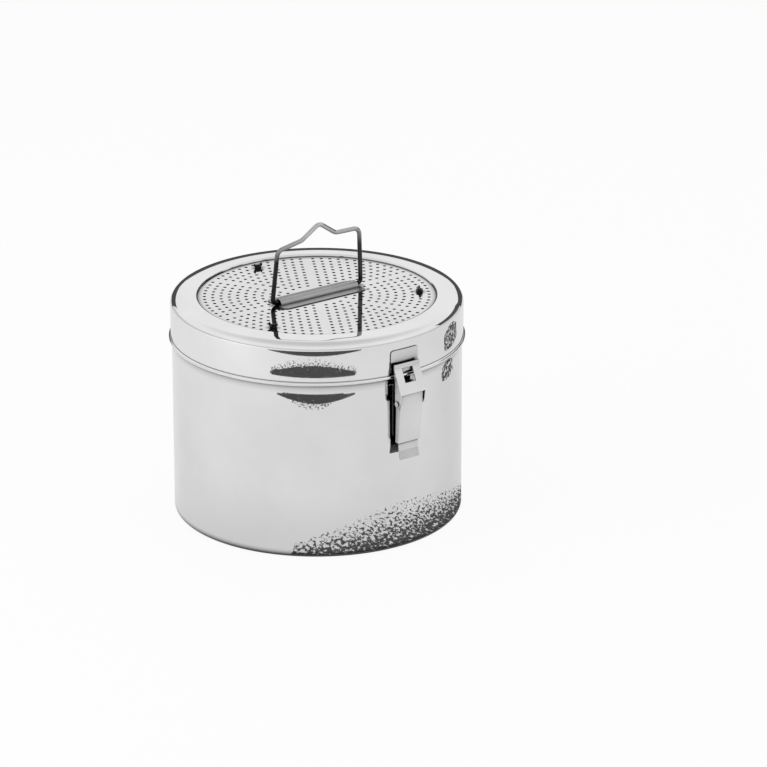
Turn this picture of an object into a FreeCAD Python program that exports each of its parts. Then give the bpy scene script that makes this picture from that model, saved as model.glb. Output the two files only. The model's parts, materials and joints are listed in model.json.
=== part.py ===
import FreeCAD, Part
import math
import os
import re

import Sketcher

# Driving dimensions in millimetres.
# The origin is the bottom centre of the drum, +Z is up, the front latch is at -Y
# and the handle's hinge line is parallel to X.
SIZES = {
    "gauge": 1.0,
    "seat_gap": 0.3,
    "weld_gap": 0.05,
    "pin_play": 0.05,
    # drum
    "drum_radius": 170,
    "drum_height": 249.5,
    "corner_radius": 6,
    "foot_width": 20,
    "bottom_rise": 3,
    "rim_bead": 2.2,
    # inner walls
    "divider_height": 160,
    "divider_gauge": 1.2,
    "divider_hem": 3.2,
    "divider_hem_height": 6,
    "divider_corner": 8,
    "divider_flange": 14,
    "guide_depth": 8,
    "guide_shortfall": 20,
    "guide_foot": 12,
    # lid
    "lid_clearance": 0.4,
    "lid_rise": 14.5,
    "skirt_height": 52,
    "hem_bead": 2.3,
    "shoulder_radius": 12,
    "ring_width": 30.8,
    "recess_depth": 4.2,
    "step_radius": 2,
    "ledge_width": 4.7,
    "gasket_lip": 8,
    "gasket_reach": 14,
    "gasket_flange": 4,
    # perforated disc
    "panel_gauge": 1.2,
    "hole_diameter": 6.5,
    "hole_pitch": 19.3,
    "hole_margin": 8,
    "ring_count": 6,
    "outer_ring_holes": 7,
    "spoke_blank": 20,
    # filter holder
    "cloth_gauge": 1.0,
    "retainer_gauge": 1.0,
    "retainer_rim": 5,
    "retainer_hub": 24,
    "retainer_border": 31.2,
    "retainer_half_spoke": 8,
    "stud_inset": 18.6,
    "stud_radius": 2,
    "stud_head_radius": 4,
    "stud_head_height": 1.5,
    "stud_tip": 1.2,
    "nut_radius": 4,
    "nut_height": 3.2,
    "wing_span": 11,
    "wing_height": 6,
    "wing_gauge": 2.4,
    # handle
    "bail_radius": 2.65,
    "bail_half_span": 63,
    "bail_top_half_span": 58,
    "bail_height": 64,
    "bail_skew": 6,
    "bail_bend": 4.6,
    "bail_corner": 9,
    "bail_stub": 17,
    "hump_half_width": 24,
    "hump_shoulder": 6.5,
    "hump_height": 16.5,
    "hump_valley": 14,
    "hump_peak": 8,
    "bail_lean_angle": 3.5,
    "pivot_height": 3.15,
    "saddle_inner": 6.3,
    "saddle_length": 110,
    "bracket_length": 117,
    "bracket_depth": 39,
    "bracket_corner": 6,
    # latch
    "plate_gauge": 1.2,
    "base_width": 30,
    "base_below": 55,
    "base_above": 10,
    "ear_inner": 24,
    "ear_radius": 4.2,
    "ear_root": 9,
    "pivot_out": 11,
    "pivot_drop": 17,
    "pin_radius": 2,
    "pin_head_radius": 3,
    "pin_head_height": 0.5,
    "loop_head_height": 1.2,
    "throw_out": 1,
    "throw_down": 10,
    "lever_width": 31,
    "lever_length": 59,
    "web_top": 6,
    "flange_depth": 5.5,
    "tab_width": 27,
    "tab_length": 20.5,
    "loop_width": 35.6,
    "loop_gauge": 1.3,
    "window_width": 15,
    "window_height": 16,
    "crossbar_height": 5.5,
    "apron_out": 8.2,
    "keeper_width": 38,
    "keeper_height": 28,
    "keeper_above_hem": 6,
    "keeper_corner": 4,
    "tongue_width": 14,
    "tongue_reach": 2.4,
    "tongue_level": 12.3,
    "tongue_lip": 4,
}

HOLE_SIDES = 6
SECTORS = 6
STUD_ANGLES = (90, 210, 330)
GUIDE_ANGLES = (0, 180, 270)
EDGE_MATCH = 0.05

doc = FreeCAD.newDocument("SterilizationContainer")
sheet = doc.addObject("Spreadsheet::Sheet", "Sizes")
for row, (alias, number) in enumerate(SIZES.items(), 1):
    sheet.set(f"A{row}", alias)
    sheet.set(f"B{row}", str(number))
    sheet.setAlias(f"B{row}", alias)
doc.recompute()

# Places worked out from the driving dimensions, written as expressions.
FLOOR = "(bottom_rise + gauge)"
FOOT_INNER = "(drum_radius - foot_width)"
LID_TOP = "(drum_height + lid_rise)"
HEM = "(drum_height + lid_rise - skirt_height)"
SKIRT_IN = "(drum_radius + lid_clearance)"
SKIRT_OUT = "(drum_radius + lid_clearance + gauge)"
LEDGE = "(drum_height + lid_rise - recess_depth)"
PANEL_TOP = f"({LEDGE} + panel_gauge)"
CLOTH_TOP = f"({LEDGE} - seat_gap)"
RETAINER_TOP = f"({CLOTH_TOP} - cloth_gauge - seat_gap)"
RECESS = "(drum_radius - ring_width)"
STUD_CIRCLE = f"({RECESS} - stud_inset)"
RETAINER_RING = f"({RECESS} - retainer_border)"
INSERT_RADIUS = f"({RECESS} - ledge_width - 2*seat_gap)"
PIVOT_LEVEL = f"({PANEL_TOP} + pivot_height)"
LEVER_PIVOT = f"({HEM} - pivot_drop)"
LOOP_PIVOT = f"({LEVER_PIVOT} - throw_down)"
LOOP_OUT = "(pivot_out + throw_out)"
KEEPER_FACE = "(lid_clearance + gauge + weld_gap + plate_gauge)"
TONGUE_TIP = f"({KEEPER_FACE} + tongue_reach)"
TONGUE_TOP = f"({HEM} + tongue_level)"
WINDOW_TOP = f"({TONGUE_TOP} + 2*seat_gap + 0.1)"
# middle of the shoulder's inside round
INNER_ROUND = (
    f"({SKIRT_OUT} - shoulder_radius + (shoulder_radius - gauge)*0.707)",
    f"({LID_TOP} - shoulder_radius + (shoulder_radius - gauge)*0.707)",
)


def linked(expression):
    """The expression with every size pointed at its cell in the sheet."""
    def cell(word):
        return f"Sizes.{word[0]}" if word[0] in SIZES else word[0]
    return re.sub(r"[a-z]\w*", cell, expression)


def value(expression):
    """The number that an expression of sizes gives."""
    return float(sheet.evalExpression(expression))


def body(label):
    """A new sub-part."""
    piece = doc.addObject("PartDesign::Body", label)
    piece.Label = label
    return piece


def origin_feature(piece, role):
    """One of the piece's own origin planes or axes."""
    return next(feature for feature in piece.Origin.OriginFeatures if feature.Role == role)


def new_sketch(piece, role, offset=None):
    """An empty sketch on one of the piece's origin planes, raised along its normal by an expression."""
    sketch = piece.newObject("Sketcher::SketchObject", f"{piece.Label}_sketch")
    sketch.AttachmentSupport = [(origin_feature(piece, role), "")]
    sketch.MapMode = "FlatFace"
    if offset:
        sketch.setExpression("AttachmentOffset.Base.z", linked(offset))
    return sketch


def arc_between(start, end, radius):
    """The shorter arc from start to end, anticlockwise where radius is positive."""
    middle = (start + end) * 0.5
    chord = end - start
    height = math.sqrt(max(radius * radius - chord.Length ** 2 / 4, 0))
    across = FreeCAD.Vector(-chord.y, chord.x, 0).normalize()
    centre = middle + across * math.copysign(height, radius)
    first, last = (start, end) if radius > 0 else (end, start)
    angles = [math.atan2(point.y - centre.y, point.x - centre.x) for point in (first, last)]
    circle = Part.Circle(centre, FreeCAD.Vector(0, 0, 1), abs(radius))
    return Part.ArcOfCircle(circle, angles[0], angles[1])


def bind(sketch, constraint, expression):
    """Adds a dimension to the sketch and ties it to the sheet."""
    index = sketch.addConstraint(constraint)
    sketch.setExpression(f"Constraints[{index}]", linked(expression))


def draw(sketch, corners):
    """A closed outline through the corners (x, y) or (x, y, radius), each entry an expression.
    The side that ends at a corner with a radius is an arc, clockwise where the radius has a minus sign."""
    points = [FreeCAD.Vector(value(corner[0]), value(corner[1]), 0) for corner in corners]
    for index, corner in enumerate(corners):
        start, end = points[index - 1], points[index]
        if len(corner) == 2:
            side = sketch.addGeometry(Part.LineSegment(start, end))
            tail, head = 1, 2
        else:
            clockwise = corner[2].startswith("-")
            size = corner[2].lstrip("-")
            radius = value(size)
            side = sketch.addGeometry(arc_between(start, end, -radius if clockwise else radius))
            tail, head = (2, 1) if clockwise else (1, 2)
            bind(sketch, Sketcher.Constraint("Radius", side, radius), size)
        if index == 0:
            first_side, first_tail = side, tail
        else:
            sketch.addConstraint(Sketcher.Constraint("Coincident", last_side, last_head, side, tail))
        bind(sketch, Sketcher.Constraint("DistanceX", -1, 1, side, head, end.x), corner[0])
        bind(sketch, Sketcher.Constraint("DistanceY", -1, 1, side, head, end.y), corner[1])
        last_side, last_head = side, head
    sketch.addConstraint(Sketcher.Constraint("Coincident", last_side, last_head, first_side, first_tail))
    return sketch


def draw_circle(sketch, x, y, radius):
    """A circle whose centre and radius are expressions."""
    centre = FreeCAD.Vector(value(x), value(y), 0)
    circle = sketch.addGeometry(Part.Circle(centre, FreeCAD.Vector(0, 0, 1), value(radius)))
    bind(sketch, Sketcher.Constraint("DistanceX", -1, 1, circle, 3, centre.x), x)
    bind(sketch, Sketcher.Constraint("DistanceY", -1, 1, circle, 3, centre.y), y)
    bind(sketch, Sketcher.Constraint("Radius", circle, value(radius)), radius)
    return sketch


def revolve(piece, corners):
    """Turns an outline of radius and height about the Z axis."""
    sketch = draw(new_sketch(piece, "XZ_Plane"), corners)
    turned = piece.newObject("PartDesign::Revolution", f"{piece.Label}_turned")
    turned.Profile = sketch
    turned.ReferenceAxis = (sketch, ["V_Axis"])
    turned.Angle = 360
    return turned


def pad(piece, sketch, length, both_ways=False):
    """Adds material from a sketch, upwards or to both sides of it."""
    added = piece.newObject("PartDesign::Pad", f"{piece.Label}_pad")
    added.Profile = sketch
    added.Midplane = both_ways
    added.setExpression("Length", linked(length))
    return added


def cut(piece, sketch, length):
    """Removes material to both sides of a sketch and checks that some went."""
    doc.recompute()
    before = piece.Shape.Volume
    removed = piece.newObject("PartDesign::Pocket", f"{piece.Label}_cut")
    removed.Profile = sketch
    removed.Midplane = True
    removed.setExpression("Length", linked(length))
    doc.recompute()
    if piece.Shape.Volume > before - 0.01:
        raise RuntimeError(f"a cut in {piece.Label} removed nothing")
    return removed


def grouped(label, template, angles):
    """One sub-part of equal solids, set at angles about the drum's axis."""
    doc.recompute()
    group = doc.addObject("Part::Feature", label)
    turns = [FreeCAD.Rotation(FreeCAD.Vector(0, 0, 1), angle) for angle in angles]
    places = [FreeCAD.Placement(FreeCAD.Vector(), turn).toMatrix() for turn in turns]
    group.Shape = Part.makeCompound([template.Shape.transformed(place) for place in places])
    group.Label = label
    return group


def build_drum():
    """Deep-drawn drum: raised bottom inside a foot ring, round lower corner, rim rolled inwards.
    Small and inner rounds of the sheet are drawn with flats."""
    drum = body("drum_body")
    revolve(drum, [
        ("0", "bottom_rise"),
        (FOOT_INNER, "bottom_rise"),
        (f"{FOOT_INNER} + bottom_rise", "0"),
        ("drum_radius - corner_radius", "0"),
        ("drum_radius", "corner_radius", "corner_radius"),
        ("drum_radius", "drum_height - 0.6*rim_bead"),
        ("drum_radius - 0.6*rim_bead", "drum_height"),
        ("drum_radius - 1.4*rim_bead", "drum_height"),
        ("drum_radius - 2*rim_bead", "drum_height - 0.6*rim_bead"),
        ("drum_radius - 2*rim_bead", "drum_height - 1.4*rim_bead"),
        ("drum_radius - gauge", "drum_height - 3*rim_bead"),
        ("drum_radius - gauge", "corner_radius"),
        ("drum_radius - 0.7*gauge - 0.3*corner_radius", "0.7*gauge + 0.3*corner_radius"),
        ("drum_radius - corner_radius", "gauge"),
        (f"{FOOT_INNER} + bottom_rise", "gauge"),
        (FOOT_INNER, FLOOR),
        ("0", FLOOR),
    ])
    return drum


def build_long_divider():
    """Inner wall across the whole diameter, with a folded top edge."""
    wall = body("long_divider")
    end = "(drum_radius - 2*gauge - weld_gap - seat_gap)"
    top = f"({FLOOR} + divider_height)"
    outline = draw(new_sketch(wall, "XZ_Plane"), [
        (f"-({end} - divider_corner)", FLOOR, "divider_corner"),
        (f"{end} - divider_corner", FLOOR),
        (end, f"{FLOOR} + divider_corner", "divider_corner"),
        (end, f"{top} - divider_corner"),
        (f"{end} - divider_corner", top, "divider_corner"),
        (f"-({end} - divider_corner)", top),
        (f"-{end}", f"{top} - divider_corner", "divider_corner"),
        (f"-{end}", f"{FLOOR} + divider_corner"),
    ])
    pad(wall, outline, "divider_gauge", both_ways=True)
    hem_end = f"({end} - guide_depth - 2*seat_gap)"
    fold = draw(new_sketch(wall, "XZ_Plane"), [
        (f"-{hem_end}", f"{top} - divider_hem_height"),
        (hem_end, f"{top} - divider_hem_height"),
        (hem_end, top),
        (f"-{hem_end}", top),
    ])
    pad(wall, fold, "divider_hem", both_ways=True)
    return wall


def build_short_divider():
    """Inner wall along the front radius, with a flange that lies on the long wall."""
    wall = body("short_divider")
    start = "(divider_gauge/2)"
    end = "(drum_radius - 2*gauge - weld_gap - seat_gap)"
    top = f"({FLOOR} + divider_height)"
    under_hem = f"({top} - divider_hem_height - seat_gap)"
    outline = draw(new_sketch(wall, "YZ_Plane"), [
        (f"-{start}", FLOOR),
        (f"-{start}", under_hem),
        (f"-({start} + divider_hem)", under_hem),
        (f"-({start} + divider_hem)", top),
        (f"-({end} - divider_corner)", top),
        (f"-{end}", f"{top} - divider_corner", "divider_corner"),
        (f"-{end}", f"{FLOOR} + divider_corner"),
        (f"-({end} - divider_corner)", FLOOR, "divider_corner"),
    ])
    pad(wall, outline, "divider_gauge", both_ways=True)
    flange = draw(new_sketch(wall, "YZ_Plane"), [
        (f"-{start}", FLOOR),
        (f"-{start}", under_hem),
        (f"-({start} + divider_gauge)", under_hem),
        (f"-({start} + divider_gauge)", FLOOR),
    ])
    pad(wall, flange, "divider_flange", both_ways=True)
    hem_end = f"({end} - guide_depth - 2*seat_gap)"
    fold = draw(new_sketch(wall, "YZ_Plane"), [
        (f"-({start} + divider_hem)", f"{top} - divider_hem_height"),
        (f"-({start} + divider_hem)", top),
        (f"-{hem_end}", top),
        (f"-{hem_end}", f"{top} - divider_hem_height"),
    ])
    pad(wall, fold, "divider_hem", both_ways=True)
    return wall


def build_divider_guides():
    """Three upright channels on the drum wall, each round the end of an inner wall."""
    channel = body("guide_channel")
    back = "(drum_radius - gauge - 3*weld_gap)"
    slot = "(divider_gauge/2 + seat_gap)"
    outline = draw(new_sketch(channel, "XY_Plane", f"{FLOOR} + guide_foot"), [
        (f"{back} - guide_depth", f"-({slot} + gauge)"),
        (back, f"-({slot} + gauge)"),
        (back, f"{slot} + gauge"),
        (f"{back} - guide_depth", f"{slot} + gauge"),
        (f"{back} - guide_depth", slot),
        (f"{back} - gauge", slot),
        (f"{back} - gauge", f"-{slot}"),
        (f"{back} - guide_depth", f"-{slot}"),
    ])
    pad(channel, outline, "divider_height - guide_shortfall")
    return grouped("divider_guides", channel, GUIDE_ANGLES)


def build_lid_shell():
    """Lid ring: skirt with a rolled hem, round shoulder, flat top and a recessed ledge for the disc.
    The hem and the inside of the shoulder are drawn with flats."""
    lid = body("lid_shell")
    revolve(lid, [
        (SKIRT_IN, HEM),
        (SKIRT_OUT, HEM),
        (f"{SKIRT_OUT} + hem_bead", f"{HEM} + 0.6*hem_bead"),
        (f"{SKIRT_OUT} + hem_bead", f"{HEM} + 1.4*hem_bead"),
        (SKIRT_OUT, f"{HEM} + 2*hem_bead"),
        (SKIRT_OUT, f"{LID_TOP} - shoulder_radius"),
        (f"{SKIRT_OUT} - shoulder_radius", LID_TOP, "shoulder_radius"),
        (f"{RECESS} + step_radius", LID_TOP),
        (RECESS, f"{LID_TOP} - step_radius"),
        (RECESS, LEDGE),
        (f"{RECESS} - ledge_width", LEDGE),
        (f"{RECESS} - ledge_width", f"{LEDGE} - gauge"),
        (f"{RECESS} + gauge", f"{LEDGE} - gauge"),
        (f"{RECESS} + gauge", f"{LID_TOP} - step_radius"),
        (f"{RECESS} + step_radius", f"{LID_TOP} - gauge"),
        (f"{SKIRT_OUT} - shoulder_radius", f"{LID_TOP} - gauge"),
        (INNER_ROUND[0], INNER_ROUND[1]),
        (SKIRT_IN, f"{LID_TOP} - shoulder_radius"),
    ])
    return lid


def build_gasket():
    """Moulded seal in the corner of the lid, just above the drum's rim."""
    gasket = body("lid_gasket")
    outer = f"({SKIRT_IN} - seat_gap)"
    crown = f"({LID_TOP} - gauge - seat_gap)"
    underside = "(drum_height + seat_gap)"
    revolve(gasket, [
        (f"{outer} - gasket_lip", underside),
        (outer, underside),
        (outer, f"{LID_TOP} - shoulder_radius"),
        (f"{INNER_ROUND[0]} - seat_gap", f"{INNER_ROUND[1]} - seat_gap"),
        (f"{SKIRT_OUT} - shoulder_radius", crown),
        (f"{outer} - gasket_reach", crown),
        (f"{outer} - gasket_reach", f"{crown} - gasket_flange"),
        (f"{outer} - gasket_lip", f"{crown} - gasket_flange"),
    ])
    return gasket


def place_on_circle(radius, angle):
    """The point at an angle in degrees on a circle about the drum's axis."""
    turn = math.radians(angle)
    return FreeCAD.Vector(radius * math.cos(turn), radius * math.sin(turn), 0)


def hole_places():
    """Centres of the disc's holes: six sectors between blank spokes.
    Each ring has one hole fewer than the ring outside it."""
    ring = value(f"{RECESS} - hole_margin")
    count = round(value("outer_ring_holes"))
    clear = value("wing_span/2 + hole_diameter/2")
    studs = [place_on_circle(value(STUD_CIRCLE), angle) for angle in STUD_ANGLES]
    places = []
    for _ in range(round(value("ring_count"))):
        span = ring * 2 * math.pi / SECTORS - value("spoke_blank")
        if count < 2 or span <= 0:
            break
        for sector in range(SECTORS):
            middle = (sector + 0.5) * 360 / SECTORS
            for step in range(count):
                swing = math.degrees((step / (count - 1) - 0.5) * span / ring)
                place = place_on_circle(ring, middle + swing)
                if all((place - stud).Length > clear for stud in studs):
                    places.append(place)
        ring -= value("hole_pitch")
        count -= 1
    return places


def build_vent_panel():
    """Perforated disc that lies on the lid's ledge: rings of holes in six sectors, and three stud holes."""
    hole_radius = value("hole_diameter/2")
    rim = [place_on_circle(hole_radius, corner * 360 / HOLE_SIDES) for corner in range(HOLE_SIDES + 1)]
    hole = Part.makePolygon(rim)
    studs = [place_on_circle(value(STUD_CIRCLE), angle) for angle in STUD_ANGLES]
    bore_radius = value("stud_radius + pin_play")
    bores = [Part.Wire(Part.makeCircle(bore_radius, stud)) for stud in studs]
    holes = [hole.translated(place) for place in hole_places()]
    blank = Part.Face(Part.Wire(Part.makeCircle(value(f"{RECESS} - seat_gap"))))
    blank.cutHoles(bores + holes)
    blank.validate()
    blank.translate(FreeCAD.Vector(0, 0, value(LEDGE)))
    panel = doc.addObject("Part::Feature", "vent_panel")
    panel.Shape = blank.extrude(FreeCAD.Vector(0, 0, value("panel_gauge")))
    panel.Label = "vent_panel"
    return panel


def build_filter_cloth():
    """Round filter sheet close under the perforated disc, with three stud holes."""
    cloth = body("filter_cloth")
    underside = new_sketch(cloth, "XY_Plane", f"{CLOTH_TOP} - cloth_gauge")
    pad(cloth, draw_circle(underside, "0", "0", INSERT_RADIUS), "cloth_gauge")
    drill_studs(cloth, f"{CLOTH_TOP} - cloth_gauge/2")
    return cloth


def drill_studs(piece, level):
    """The three stud holes through a sheet at a level."""
    for angle in STUD_ANGLES:
        turn = math.radians(angle)
        bore = new_sketch(piece, "XY_Plane", level)
        draw_circle(bore, f"{STUD_CIRCLE}*{math.cos(turn):.9f}", f"{STUD_CIRCLE}*{math.sin(turn):.9f}",
                    "stud_radius + pin_play")
        cut(piece, bore, "4*(cloth_gauge + retainer_gauge)")


def build_filter_retainer():
    """Spoked plate with a turned-down rim that holds the filter sheet up."""
    plate = body("filter_retainer")
    revolve(plate, [
        ("0", f"{RETAINER_TOP} - retainer_gauge"),
        (f"{INSERT_RADIUS} - retainer_gauge", f"{RETAINER_TOP} - retainer_gauge"),
        (f"{INSERT_RADIUS} - retainer_gauge", f"{RETAINER_TOP} - retainer_rim"),
        (INSERT_RADIUS, f"{RETAINER_TOP} - retainer_rim"),
        (INSERT_RADIUS, RETAINER_TOP),
        ("0", RETAINER_TOP),
    ])
    window = new_sketch(plate, "XY_Plane", RETAINER_TOP)
    near = "sqrt(retainer_hub^2 - retainer_half_spoke^2)"
    far = f"sqrt({RETAINER_RING}^2 - retainer_half_spoke^2)"
    slope = f"{math.cos(2 * math.pi / SECTORS):.9f}"
    rise = f"{math.sin(2 * math.pi / SECTORS):.9f}"
    draw(window, [
        (f"-({near}*{slope} - retainer_half_spoke*{rise})", f"{near}*{rise} + retainer_half_spoke*{slope}"),
        (f"{near}*{slope} - retainer_half_spoke*{rise}", f"{near}*{rise} + retainer_half_spoke*{slope}",
         "-retainer_hub"),
        (f"{far}*{slope} - retainer_half_spoke*{rise}", f"{far}*{rise} + retainer_half_spoke*{slope}"),
        (f"-({far}*{slope} - retainer_half_spoke*{rise})", f"{far}*{rise} + retainer_half_spoke*{slope}",
         RETAINER_RING),
    ])
    opening = cut(plate, window, "4*retainer_gauge")
    spread = plate.newObject("PartDesign::PolarPattern", "retainer_windows")
    spread.Originals = [opening]
    spread.Axis = (origin_feature(plate, "Z_Axis"), [""])
    spread.Angle = 360
    spread.Occurrences = SECTORS
    plate.Tip = spread
    doc.recompute()
    drill_studs(plate, RETAINER_TOP)
    return plate


def build_filter_studs():
    """Three headed studs up through the retainer, the cloth and the disc."""
    stud = body("stud")
    revolve(stud, [
        ("0", f"{RETAINER_TOP} - retainer_gauge - stud_head_height"),
        ("stud_head_radius", f"{RETAINER_TOP} - retainer_gauge - stud_head_height"),
        ("stud_head_radius", f"{RETAINER_TOP} - retainer_gauge"),
        ("stud_radius", f"{RETAINER_TOP} - retainer_gauge"),
        ("stud_radius", f"{PANEL_TOP} + nut_height + stud_tip"),
        ("0", f"{PANEL_TOP} + nut_height + stud_tip"),
    ])
    stud.setExpression("Placement.Base.x", linked(STUD_CIRCLE))
    return grouped("filter_studs", stud, STUD_ANGLES)


def build_filter_nuts():
    """Three wing nuts that clamp the disc, cloth and retainer together."""
    nut = body("nut")
    foot = draw_circle(new_sketch(nut, "XY_Plane", PANEL_TOP), "0", "0", "nut_radius")
    pad(nut, foot, "nut_height")
    wings = draw(new_sketch(nut, "YZ_Plane"), [
        ("-nut_radius/2", PANEL_TOP),
        ("nut_radius/2", PANEL_TOP),
        ("wing_span/2", f"{PANEL_TOP} + nut_height"),
        ("wing_span/2", f"{PANEL_TOP} + wing_height - wing_gauge/2"),
        ("wing_span/2 - wing_gauge/2", f"{PANEL_TOP} + wing_height", "wing_gauge/2"),
        ("nut_radius - wing_gauge/2", f"{PANEL_TOP} + nut_height"),
        ("-(nut_radius - wing_gauge/2)", f"{PANEL_TOP} + nut_height"),
        ("-(wing_span/2 - wing_gauge/2)", f"{PANEL_TOP} + wing_height"),
        ("-wing_span/2", f"{PANEL_TOP} + wing_height - wing_gauge/2", "wing_gauge/2"),
        ("-wing_span/2", f"{PANEL_TOP} + nut_height"),
    ])
    pad(nut, wings, "wing_gauge", both_ways=True)
    bore = new_sketch(nut, "XY_Plane", f"{PANEL_TOP} + nut_height/2")
    cut(nut, draw_circle(bore, "0", "0", "stud_radius + pin_play"), "3*wing_height")
    nut.setExpression("Placement.Base.x", linked(STUD_CIRCLE))
    return grouped("filter_nuts", nut, STUD_ANGLES)


def build_handle_bracket():
    """Long saddle: a half-round tunnel over the handle's ends between two flanges with round corners."""
    bracket = body("handle_bracket")
    half_length = "(bracket_length/2)"
    half_depth = "(bracket_depth/2)"
    flange = draw(new_sketch(bracket, "XY_Plane", PANEL_TOP), [
        (f"-({half_length} - bracket_corner)", f"-{half_depth}", "bracket_corner"),
        (f"{half_length} - bracket_corner", f"-{half_depth}"),
        (half_length, f"-({half_depth} - bracket_corner)", "bracket_corner"),
        (half_length, f"{half_depth} - bracket_corner"),
        (f"{half_length} - bracket_corner", half_depth, "bracket_corner"),
        (f"-({half_length} - bracket_corner)", half_depth),
        (f"-{half_length}", f"{half_depth} - bracket_corner", "bracket_corner"),
        (f"-{half_length}", f"-({half_depth} - bracket_corner)"),
    ])
    pad(bracket, flange, "gauge")
    outer = "(saddle_inner + gauge)"
    hump = draw(new_sketch(bracket, "YZ_Plane"), [
        (outer, PANEL_TOP),
        ("0", f"{PANEL_TOP} + {outer}", outer),
        (f"-{outer}", PANEL_TOP, outer),
    ])
    pad(bracket, hump, "saddle_length", both_ways=True)
    tunnel = draw(new_sketch(bracket, "YZ_Plane"), [
        ("saddle_inner", PANEL_TOP),
        ("0", f"{PANEL_TOP} + saddle_inner", "saddle_inner"),
        ("-saddle_inner", PANEL_TOP, "saddle_inner"),
        ("-saddle_inner", f"{PANEL_TOP} - gauge"),
        ("saddle_inner", f"{PANEL_TOP} - gauge"),
    ])
    cut(bracket, tunnel, "bracket_length + 2*bracket_corner")
    return bracket


def rounded_path(points, radii):
    """A wire along straight runs whose inner corners are rounded to the given radii."""
    edges = []
    reached = points[0]
    for before, corner, after, radius in zip(points, points[1:], points[2:], radii):
        back = (before - corner).normalize()
        ahead = (after - corner).normalize()
        half_turn = (math.pi - back.getAngle(ahead)) / 2
        setback = radius * math.tan(half_turn)
        bisector = (back + ahead).normalize()
        inside = corner + bisector * (radius / math.cos(half_turn) - radius)
        start, end = corner + back * setback, corner + ahead * setback
        edges.append(Part.LineSegment(reached, start).toShape())
        edges.append(Part.Arc(start, inside, end).toShape())
        reached = end
    edges.append(Part.LineSegment(reached, points[-1]).toShape())
    return Part.Wire(edges)


def build_handle_bail():
    """Wire handle: two ends turned in under the saddle, posts that lean in a little, and a humped top bar.
    The post at +X is the longer one by the skew."""
    pivot = value(PIVOT_LEVEL)
    span = value("bail_half_span")
    foot = span - value("bail_stub")
    top_span = value("bail_top_half_span")
    low_corner = pivot + value("bail_height")
    high_corner = low_corner + value("bail_skew")
    hump_foot = low_corner + value("hump_shoulder")
    corners = [
        (foot, pivot, None),
        (span, pivot, "bail_bend"),
        (top_span, high_corner, "bail_corner"),
        (value("hump_half_width"), hump_foot, "hump_valley"),
        (0, hump_foot + value("hump_height"), "hump_peak"),
        (-value("hump_half_width"), hump_foot, "hump_valley"),
        (-top_span, low_corner, "bail_corner"),
        (-span, pivot, "bail_bend"),
        (-foot, pivot, None),
    ]
    points = [FreeCAD.Vector(x, 0, z) for x, z, _ in corners]
    radii = [value(radius) for _, _, radius in corners[1:-1]]
    path = rounded_path(points, radii)
    section = Part.Wire(Part.makeCircle(value("bail_radius"), points[0], FreeCAD.Vector(1, 0, 0)))
    wire = path.makePipeShell([section], True, False)
    wire.rotate(FreeCAD.Vector(0, 0, pivot), FreeCAD.Vector(1, 0, 0), value("bail_lean_angle"))
    bail = doc.addObject("Part::Feature", "handle_bail")
    bail.Shape = wire
    bail.Label = "handle_bail"
    return bail


def outward(corners):
    """Turns distances out from the drum's wall, with heights, into corners on the YZ plane at the front."""
    placed = []
    for corner in corners:
        turn = []
        if len(corner) == 3:
            turn = [corner[2][1:] if corner[2].startswith("-") else f"-({corner[2]})"]
        placed.append((f"-(drum_radius + {corner[0]})", corner[1], *turn))
    return placed


def side_sketch(piece, corners):
    """A sketch of a latch piece seen from its side."""
    return draw(new_sketch(piece, "YZ_Plane"), outward(corners))


def drill_across(piece, places, radius):
    """Pin holes along X through a latch piece, at distances out and heights."""
    for out, level in places:
        bore = draw_circle(new_sketch(piece, "YZ_Plane"), f"-(drum_radius + {out})", level, radius)
        cut(piece, bore, "2*loop_width")


def curved_plate(piece, width, inside, thickness, low, height):
    """A sheet bent to a radius about the drum's axis, at the front, from a level upwards."""
    near = f"sqrt(({inside})^2 - ({width}/2)^2)"
    far = f"sqrt(({inside} + {thickness})^2 - ({width}/2)^2)"
    strip = draw(new_sketch(piece, "XY_Plane", low), [
        (f"-{width}/2", f"-{near}"),
        (f"{width}/2", f"-{near}", f"({inside})"),
        (f"{width}/2", f"-{far}"),
        (f"-{width}/2", f"-{far}", f"-({inside} + {thickness})"),
    ])
    pad(piece, strip, height)


def round_corners(piece, radius, corner_length):
    """Rounds the plate's four short edges, which are those as long as its thickness."""
    doc.recompute()
    plate = piece.Tip
    short = [f"Edge{index}" for index, edge in enumerate(plate.Shape.Edges, 1)
             if abs(edge.Length - value(corner_length)) < EDGE_MATCH]
    rounded = piece.newObject("PartDesign::Fillet", f"{piece.Label}_corners")
    rounded.Base = (plate, short)
    rounded.setExpression("Radius", linked(radius))
    return rounded


def build_keeper(side):
    """Plate on the lid's skirt with a tongue that the loop's crossbar swings over."""
    keeper = body(f"{side}_keeper")
    inside = f"({SKIRT_OUT} + weld_gap)"
    low = f"{HEM} + keeper_above_hem"
    curved_plate(keeper, "keeper_width", inside, "plate_gauge", low, "keeper_height")
    round_corners(keeper, "keeper_corner", "plate_gauge")
    tongue = side_sketch(keeper, [
        (f"{KEEPER_FACE} - plate_gauge/2", TONGUE_TOP),
        (TONGUE_TIP, TONGUE_TOP),
        (TONGUE_TIP, f"{TONGUE_TOP} - tongue_lip"),
        (f"{TONGUE_TIP} - plate_gauge", f"{TONGUE_TOP} - tongue_lip"),
        (f"{TONGUE_TIP} - plate_gauge", f"{TONGUE_TOP} - plate_gauge"),
        (f"{KEEPER_FACE} - plate_gauge/2", f"{TONGUE_TOP} - plate_gauge"),
    ])
    pad(keeper, tongue, "tongue_width", both_ways=True)
    return keeper


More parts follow.
